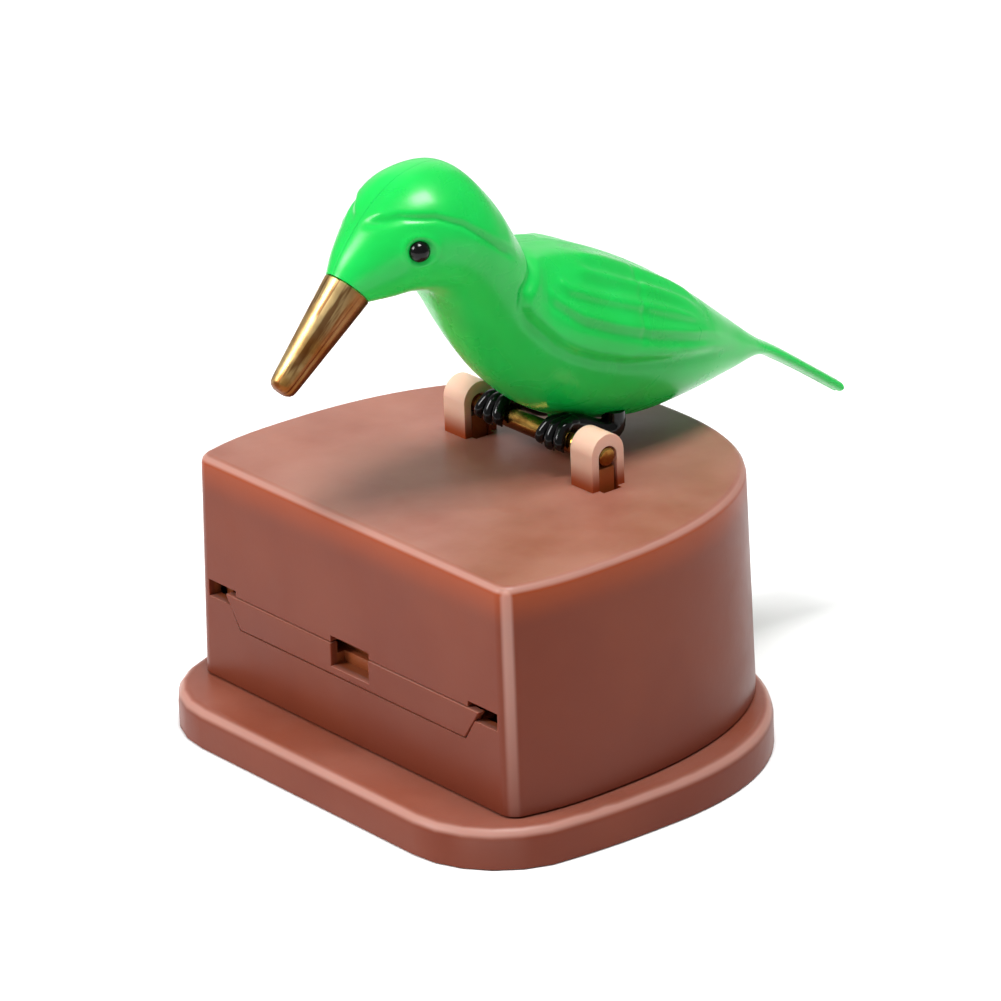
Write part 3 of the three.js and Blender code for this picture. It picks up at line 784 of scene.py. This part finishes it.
# ---- bird ----
@dataclass
class Bird:
    """The bird's two moulded halves, with their wings, cap and tail cut into the skin."""

    rings: int = 360
    sides: int = 160
    seam_mm: float = 0.02
    wing_lift_mm: float = 0.9
    wing_hollow: float = 0.75
    wing_margin_mm: float = 2.2
    wing_crease: Ridge = Ridge(-0.35, 0.8, -0.7)
    feather_lip: Ridge = Ridge(0.42, 0.6)
    feather_cut: Ridge = Ridge(-0.252, 0.6, -1.3)
    division_groove: Ridge = Ridge(-0.22, 0.6)
    cap_swell: Ridge = Ridge(0.34, 4.5)
    cap_groove: Ridge = Ridge(-0.26, 0.45, -0.35)
    eye_rim: Ridge = Ridge(0.2, 0.45, 2.4)
    eye_socket_mm: float = 0.3
    eye_radius_mm: float = 1.72
    tail_groove: Ridge = Ridge(-0.12, 0.3, 0.9)
    # Where along the bird, and how high, each kind of relief is drawn.
    wing_from_mm: float = -6.0
    head_above_mm: float = 78.0
    tail_from_mm: float = 48.0
    tail_fade_mm: float = 5.0
    # Mid-plane sections from the bill to the tail's tip: back y and z, belly y and z, half width.
    sections: tuple[tuple[float, float, float, float, float], ...] = (
        (-36.2, 34.2, -31.0, 28.6, 3.8),
        (-33.8, 37.9, -27.2, 28.5, 5.9),
        (-28.6, 43.3, -23.0, 28.5, 8.7),
        (-22.2, 46.9, -18.2, 26.8, 11.0),
        (-15.0, 47.2, -15.0, 21.6, 11.8),
        (-9.8, 42.7, -12.6, 16.8, 11.6),
        (-5.8, 36.6, -10.0, 12.6, 11.4),
        (-2.5, 31.0, -6.2, 8.0, 11.8),
        (6.0, 29.0, -0.8, 3.4, 12.7),
        (14.3, 25.5, 6.4, -0.2, 13.2),
        (22.7, 20.8, 16.4, -2.4, 12.9),
        (31.0, 14.9, 26.6, -2.0, 11.0),
        (39.1, 8.3, 36.9, -0.9, 7.6),
        (45.8, 2.8, 45.2, -0.3, 4.4),
        (52.2, -1.4, 51.8, -3.6, 3.4),
        (64.2, -10.0, 63.6, -11.8, 2.4),
    )
    wing_edge: Line = Line(
        (
            (45.0, 90.0), (3.4, 79.4), (-0.4, 77.9), (-2.3, 76.6), (-2.6, 74.6), (-1.6, 72.5), (0.2, 70.6),
            (3.3, 67.3), (6.6, 65.0), (10.1, 63.3), (16.0, 61.2), (25.4, 59.2), (34.7, 57.2), (45.3, 53.8),
        )
    )
    feather_lines: tuple[Line, ...] = (
        Line(((2.6, 75.6), (3.4, 73.9), (7.9, 70.4), (13.4, 67.8), (20.9, 64.8), (33.6, 60.6), (42, 56.8))),
        Line(((5.6, 76.0), (6.7, 74.4), (13.5, 71.3), (20.0, 68.6), (27.0, 65.4), (36.0, 60.9))),
        Line(((8.6, 76.4), (14.5, 74.0), (21.0, 71.2), (28.0, 67.4), (35.5, 62.6))),
        Line(((11.0, 77.6), (17.0, 75.2), (24.0, 72.0), (30.5, 68.0), (36.5, 63.6))),
    )
    division: Line = Line(((24.6, 74.0), (22.4, 71.0), (20.6, 68.6), (19.2, 65.6), (18.6, 62.6)))
    cap_edge: Line = Line(
        (
            (-29.0, 88.0), (-26.5, 91.0), (-24.2, 91.5), (-21.1, 92.3), (-16.7, 92.0), (-13.0, 90.4),
            (-9.4, 87.6), (-6.4, 85.2), (-4.0, 83.6), (-1.5, 81.5),
        )
    )

    def skin(self) -> bmesh.types.BMesh:
        """Lofts the bird's round sections into one closed skin.

        Returns:
            The skin, before any carving.
        """
        shape = bmesh.new()
        previous: list[bmesh.types.BMEdge] = []
        for i in range(self.rings + 1):
            back_y, back_z, belly_y, belly_z, half = through(self.sections, i / self.rings)
            middle = Vector((0, (back_y + belly_y) / 2, (back_z + belly_z) / 2))
            up = Vector((0, back_y, back_z)) - middle
            along = Vector((1, 0, 0)).cross(up)
            place = Matrix((Vector((half, 0, 0)), up, along)).transposed().to_4x4()
            place.translation = middle
            place = Matrix.Translation(BIRD_ORIGIN) @ Matrix.Diagonal((MM, MM, MM, 1)) @ place
            made = bmesh.ops.create_circle(
                shape, cap_ends=i in (0, self.rings), segments=self.sides, radius=1.0, matrix=place
            )
            ring = list({edge for vert in made["verts"] for edge in vert.link_edges})
            if previous:
                bmesh.ops.bridge_loops(shape, edges=previous + ring)
            previous = ring
        bmesh.ops.recalc_face_normals(shape, faces=shape.faces)
        return shape

    def wing_height(self, y: float, z: float) -> float:
        """Gives how far the folded wing stands off the body.

        Args:
            y: millimetres along the bird.
            z: millimetres up.

        Returns:
            The height in millimetres, below 0 in a groove.
        """
        inside, along = self.wing_edge.nearest(y, z)
        if inside < -self.wing_margin_mm:
            return 0.0
        fade = 1 - eased(along, 0.86, 1.0)
        body = eased(inside, -0.5, 0.9) * (1 - self.wing_hollow * eased(inside, 5.0, 14.0))
        height = self.wing_lift_mm * body + self.wing_crease.at(inside)
        for line in self.feather_lines:
            across, part = line.nearest(y, z)
            feather = self.feather_lip.at(across) + self.feather_cut.at(across)
            height += feather * faded(part, 0.12, 0.85)
        across, part = self.division.nearest(y, z)
        within = eased(inside, 0.4, 1.6)
        height += self.division_groove.at(across) * faded(part, 0.2, 0.85) * within
        return height * fade

    def head_height(self, y: float, z: float) -> float:
        """Gives the relief of the cap and the eye's rim on the head.

        Args:
            y: millimetres along the bird.
            z: millimetres up.

        Returns:
            The height in millimetres.
        """
        above, along = self.cap_edge.nearest(y, z)
        step = eased(above, -0.2, 0.5) * self.cap_swell.at(max(above, 0.0))
        height = (step + self.cap_groove.at(above)) * faded(along, 0.12, 0.8)
        apart = math.hypot(y - EYE.y / MM, z - EYE.z / MM)
        socket = self.eye_socket_mm * (1 - eased(apart, 1.3, 2.1))
        return height + self.eye_rim.at(apart) - socket

    def tail_height(self, x: float, y: float) -> float:
        """Gives the grooves between the tail's feathers.

        Args:
            x: millimetres to the side.
            y: millimetres along the bird.

        Returns:
            The height in millimetres.
        """
        start = eased(y, self.tail_from_mm, self.tail_from_mm + self.tail_fade_mm)
        return start * self.tail_groove.at(abs(x))

    def carve(self, shape: bmesh.types.BMesh) -> None:
        """Moves the skin's points out and in for wings, cap, eye rims and tail.

        Args:
            shape: the skin, with its normals up to date.
        """
        shape.normal_update()
        moves = []
        for vert in shape.verts:
            x, y, z = vert.co / MM
            height = 0.0
            if y > self.wing_from_mm:
                height += eased(abs(x), 1.5, 7.0) * self.wing_height(y, z)
            if z > self.head_above_mm:
                height += eased(abs(x), 0.4, 3.0) * self.head_height(y, z)
            if y > self.tail_from_mm:
                height += self.tail_height(x, y)
            moves.append((vert, vert.normal * height * MM))
        for vert, move in moves:
            vert.co += move

    def half(self, skin: bmesh.types.BMesh, side: Side) -> bmesh.types.BMesh:
        """Cuts one half from the skin and closes it along the seam.

        Args:
            skin: the whole carved skin.
            side: which half to keep.

        Returns:
            The half.
        """
        shape = skin.copy()
        everything = [*shape.verts, *shape.edges, *shape.faces]
        seam = Vector((side.value * self.seam_mm * MM, 0, 0))
        cut = bmesh.ops.bisect_plane(
            shape, geom=everything, dist=1e-7, plane_co=seam,
            plane_no=(side.value, 0, 0), clear_inner=True,
        )
        rim = [item for item in cut["geom_cut"] if isinstance(item, bmesh.types.BMVert)]
        for vert in rim:
            vert.co -= Vector((0, vert.normal.y, vert.normal.z)) * self.seam_mm * MM
        open_edges = [edge for edge in shape.edges if edge.is_boundary]
        bmesh.ops.holes_fill(shape, edges=open_edges, sides=0)
        return shape

    def build_halves(self) -> None:
        """Builds the left and right halves."""
        skin = self.skin()
        self.carve(skin)
        for side in Side:
            label = side.name.lower()
            shape = self.half(skin, side)
            name = "bird_half_" + label
            finished(name, shape, GREEN_PLASTIC, "bird", ["bird_shell_" + label], 50)
        skin.free()

    def build_eyes(self) -> None:
        """Builds the two black beads of the eyes."""
        for side in Side:
            label = side.name.lower()
            shape = bmesh.new()
            place = Matrix.Translation(middle("eye_" + label))
            bmesh.ops.create_uvsphere(
                shape, u_segments=40, v_segments=24, radius=self.eye_radius_mm * MM,
                matrix=place @ Matrix.Rotation(math.pi / 2, 4, "Y"),
            )
            finished("eye_bead_" + label, shape, BLACK_ENAMEL, "bird", ["eye_" + label], 60)

    def build(self) -> None:
        """Builds the halves and the eyes."""
        self.build_halves()
        self.build_eyes()


@dataclass
class Bill:
    """The gold-plated bill: a taper with a blunt tip and a mouth line down each side."""

    base_mm: tuple[float, float] = (-33.5, 31.3)
    tip_mm: tuple[float, float] = (-47.2, 18.2)
    sides: int = 96
    # How far each ring is from the base, and its radius; the first two are the peg in the head.
    stations: tuple[tuple[float, float], ...] = (
        (-3.0, 2.0), (0.0, 2.1), (0.02, 3.7), (0.25, 3.88), (2.0, 3.72), (6.0, 3.34), (10.0, 2.94),
        (14.0, 2.56), (17.2, 2.24), (18.1, 2.08), (18.6, 1.75), (18.9, 1.2), (18.95, 0.05),
    )
    rings_between: int = 3
    mouth: Ridge = Ridge(-0.16, 0.28)
    peg_mm: float = 0.5
    core_mm: float = 0.3

    def build(self) -> bpy.types.Object:
        """Builds the bill.

        Returns:
            The bill.
        """
        shape = bmesh.new()
        base = BIRD_ORIGIN + Vector((0, *self.base_mm)) * MM
        axis = (Vector((0, *self.tip_mm)) - Vector((0, *self.base_mm))).normalized()
        path = []
        radii = []
        for (h0, r0), (h1, r1) in zip(self.stations, self.stations[1:]):
            for ring in range(self.rings_between):
                part = ring / self.rings_between
                path.append(base + axis * (h0 + (h1 - h0) * part) * MM)
                radii.append((r0 + (r1 - r0) * part) * MM)
        path.append(base + axis * self.stations[-1][0] * MM)
        radii.append(self.stations[-1][1] * MM)
        tube(shape, path, radii, self.sides)
        self.cut_mouth(shape, base, axis)
        bmesh.ops.recalc_face_normals(shape, faces=shape.faces)
        return finished("gold_bill", shape, BILL_GOLD, "bird", ["bill"], 40)

    def cut_mouth(self, shape: bmesh.types.BMesh, base: Vector, axis: Vector) -> None:
        """Presses a shallow groove into each side for the line of the mouth.

        Args:
            shape: the bill's mesh.
            base: where the bill meets the head.
            axis: the bill's direction.
        """
        normal = axis.cross(Vector((1, 0, 0)))
        for vert in shape.verts:
            offset = vert.co - base
            radial = offset - axis * offset.dot(axis)
            if radial.length < self.core_mm * MM or offset.dot(axis) < self.peg_mm * MM:
                continue
            vert.co += radial.normalized() * self.mouth.at(radial.dot(normal) / MM) * MM


@dataclass
class Roost:
    """The perch rod and the bird's two feet that grip it."""

    perch_mm: float = 1.7
    perch_sides: int = 48
    journal_mm: float = 1.5
    inner_mm: float = 12.7
    outer_mm: float = 18.2
    foot_x_mm: float = 7.5
    toe_start_mm: float = 0.75
    toe_lean_mm: float = 1.875
    toe_mm: float = 1.12
    toe_taper_mm: float = 0.2
    knuckle_mm: float = 0.13
    knuckle_waves: float = 2.8
    claw_from: float = 0.78
    claw_taper: float = 0.85
    claw_dip: float = 0.3
    toe_gap_mm: float = 0.12
    toe_rise_mm: float = 0.98
    toe_flatten: float = 0.2
    toe_steps: int = 26
    toe_sides: int = 14
    # Where toes start and end round the perch, in degrees from the back over the top.
    middle_toe: tuple[float, float] = (62.0, 214.0)
    outer_toe: tuple[float, float] = (62.0, 202.0)
    back_toe: tuple[float, float] = (70.0, -58.0)
    back_toe_lean_mm: float = 0.3
    # The shank's y and z, and its radius, from the top of the perch back and up into the belly.
    shank_route: tuple[tuple[float, float, float], ...] = (
        (7.0, 51.3, 1.5), (10.0, 50.9, 1.5), (13.0, 49.3, 1.6), (15.5, 48.2, 1.9),
        (17.2, 48.6, 2.0), (17.5, 51.0, 1.8),
    )
    shank_steps: int = 24
    shank_sides: int = 16

    def build_perch(self) -> bpy.types.Object:
        """Builds the perch, a rod with a thinner journal at each end.

        Returns:
            The perch.
        """
        shape = bmesh.new()
        half = [
            (self.outer_mm, 1.2), (self.outer_mm - 0.05, 1.35), (self.outer_mm - 0.2, self.journal_mm),
            (self.inner_mm + 0.02, self.journal_mm), (self.inner_mm, 1.58),
            (self.inner_mm - 0.2, self.perch_mm), (6.0, self.perch_mm),
        ]
        stations = [(-x, r) for x, r in half] + [(x, r) for x, r in reversed(half)]
        path = [AXLE + Vector((x, 0, 0)) * MM for x, _ in stations]
        tube(shape, path, [r * MM for _, r in stations], self.perch_sides)
        bmesh.ops.recalc_face_normals(shape, faces=shape.faces)
        return finished("perch_rod", shape, PERCH_GOLD, "bird", ["perch"], 35)

    def around(self, x: float, degrees: float, reach: float) -> Vector:
        """Gives a point round the perch, at an angle from +Y, in metres."""
        turn = math.radians(degrees)
        return AXLE + Vector((x, reach * math.cos(turn), reach * math.sin(turn))) * MM

    def toe(self, shape: bmesh.types.BMesh, x: float, lean: float, angles: tuple[float, float]) -> None:
        """Adds one toe with two knuckles and a claw, wrapped round the perch.

        Args:
            shape: the foot's mesh.
            x: where the toe starts, in millimetres.
            lean: how far its tip lies to the side, in millimetres.
            angles: where it starts and ends round the perch.
        """
        path = []
        radii = []
        for i in range(self.toe_steps + 1):
            part = i / self.toe_steps
            degrees = angles[0] + (angles[1] - angles[0]) * part
            knuckles = self.knuckle_mm * math.cos(part * self.knuckle_waves * math.tau) * (1 - part)
            girth = self.toe_mm - self.toe_taper_mm * part + knuckles
            girth *= 1 - self.claw_taper * eased(part, self.claw_from, 1.0)
            rise = self.toe_rise_mm * (1 - self.toe_flatten * part)
            rise *= 1 - self.claw_dip * eased(part, 0.8, 1.0)
            reach = self.perch_mm + self.toe_gap_mm + rise
            path.append(self.around(x + lean * part**0.8, degrees, reach))
            radii.append(girth * MM)
        tube(shape, path, radii, self.toe_sides)

    def shank(self, shape: bmesh.types.BMesh, x: float) -> None:
        """Adds the shank, from the top of the perch back and up into the belly.

        Args:
            shape: the foot's mesh.
            x: the foot's middle, in millimetres.
        """
        path = []
        radii = []
        for i in range(self.shank_steps + 1):
            y, z, r = through(self.shank_route, i / self.shank_steps)
            path.append(Vector((x, y, z)) * MM)
            radii.append(r * MM)
        tube(shape, path, radii, self.shank_sides)

    def build_feet(self) -> None:
        """Builds the two feet: three toes in front, one behind, and the shank."""
        for side in Side:
            shape = bmesh.new()
            foot = side.value * self.foot_x_mm
            for spread in (-1, 0, 1):
                start = foot + spread * self.toe_start_mm
                angles = self.middle_toe if spread == 0 else self.outer_toe
                self.toe(shape, start, spread * self.toe_lean_mm, angles)
            self.toe(shape, foot, self.back_toe_lean_mm, self.back_toe)
            self.shank(shape, foot)
            bmesh.ops.recalc_face_normals(shape, faces=shape.faces)
            label = side.name.lower()
            finished("clawed_foot_" + label, shape, BLACK_ENAMEL, "bird", ["foot_" + label], 60)

    def build(self) -> None:
        """Builds the perch and the feet."""
        self.build_perch()
        self.build_feet()


# ---- stage ----
@dataclass(frozen=True)
class Softbox:
    """A square lamp that looks at the bird: its place and the length of its side in metres."""

    name: str
    place: tuple[float, float, float]
    side: float
    watts: float


@dataclass
class Studio:
    """The pale floor, the soft lights and the camera, in metres and degrees."""

    azimuth: float = 51.6588
    elevation: float = 22.3166
    roll: float = -2.1601
    distance: float = 1.03392
    aim: tuple[float, float, float] = (0.0, 0.00037, 0.03843)
    lens: float = 239.11
    floor_radius: float = 0.9
    floor_z: float = -0.0001
    lamp_aim: tuple[float, float, float] = (0.0, 0.0, 0.05)
    softboxes: tuple[Softbox, ...] = (
        Softbox("key_softbox", (-0.55, -1.1, 0.9), 0.5, 14.0),
        Softbox("top_softbox", (0.2, -0.04, 1.45), 0.5, 22.0),
        Softbox("back_softbox", (-0.95, 0.75, 0.55), 0.9, 1.6),
    )
    room_light: float = 0.3
    room_backdrop: float = 1.0

    def build_floor(self) -> None:
        """Builds the floor, a wide disc of paper just under the base."""
        shape = bmesh.new()
        place = Matrix.Translation((0, 0, self.floor_z))
        bmesh.ops.create_circle(
            shape, cap_ends=True, segments=96, radius=self.floor_radius, matrix=place
        )
        mesh = bpy.data.meshes.new("paper_floor")
        shape.to_mesh(mesh)
        shape.free()
        mesh.materials.append(STUDIO_PAPER.material())
        floor = bpy.data.objects.new("paper_floor", mesh)
        bpy.context.scene.collection.objects.link(floor)

    def light(self, box: Softbox) -> None:
        """Adds one softbox.

        Args:
            box: its name, place, size and power.
        """
        data = bpy.data.lights.new(box.name, "AREA")
        data.size = box.side
        data.energy = box.watts
        lamp = bpy.data.objects.new(box.name, data)
        lamp.location = box.place
        towards = Vector(self.lamp_aim) - Vector(box.place)
        lamp.rotation_euler = towards.to_track_quat("-Z", "Y").to_euler()
        bpy.context.scene.collection.objects.link(lamp)

    def build_lights(self) -> None:
        """Adds the softboxes and a dim room that looks white past the edge of the floor."""
        for box in self.softboxes:
            self.light(box)
        world = bpy.data.worlds.new("dim_room")
        world.use_nodes = True
        tree = world.node_tree
        tree.nodes.clear()
        seen = add_node(tree, "ShaderNodeLightPath", {}, {}).outputs["Is Camera Ray"]
        levels = {"To Min": self.room_light, "To Max": self.room_backdrop}
        strength = add_node(tree, "ShaderNodeMapRange", levels, {"Value": seen})
        room = add_node(
            tree,
            "ShaderNodeBackground",
            {"Color": linear("ffffff")},
            {"Strength": strength.outputs[0]},
        )
        add_node(tree, "ShaderNodeOutputWorld", {}, {"Surface": room.outputs[0]})
        bpy.context.scene.world = world
        bpy.context.scene.view_settings.view_transform = "Standard"

    def build_camera(self) -> None:
        """Places the camera."""
        az, el, roll = (math.radians(v) for v in (self.azimuth, self.elevation, self.roll))
        back = Vector((math.sin(az) * math.cos(el), -math.cos(az) * math.cos(el), math.sin(el)))
        right = Vector((math.cos(az), math.sin(az), 0))
        up = back.cross(right)
        across = math.cos(roll) * right + math.sin(roll) * up
        upright = back.cross(across)
        data = bpy.data.cameras.new("studio_camera")
        data.lens = self.lens
        data.sensor_width = 36.0
        data.clip_end = 20.0
        camera = bpy.data.objects.new("studio_camera", data)
        place = Matrix((across, upright, back)).transposed().to_4x4()
        place.translation = Vector(self.aim) + back * self.distance
        camera.matrix_world = place
        bpy.context.scene.collection.objects.link(camera)
        bpy.context.scene.camera = camera

    def build(self) -> None:
        """Builds the stage."""
        self.build_camera()
        self.build_floor()
        self.build_lights()


def main() -> None:
    """Builds the stage and every sub-assembly in order."""
    logging.basicConfig(level=logging.INFO, format="%(name)s: %(message)s")
    for part in (Studio(), Box(), Works(), Bird(), Bill(), Roost()):
        LOG.info("building %s", type(part).__name__)
        part.build()


if __name__ == "__main__":
    main()
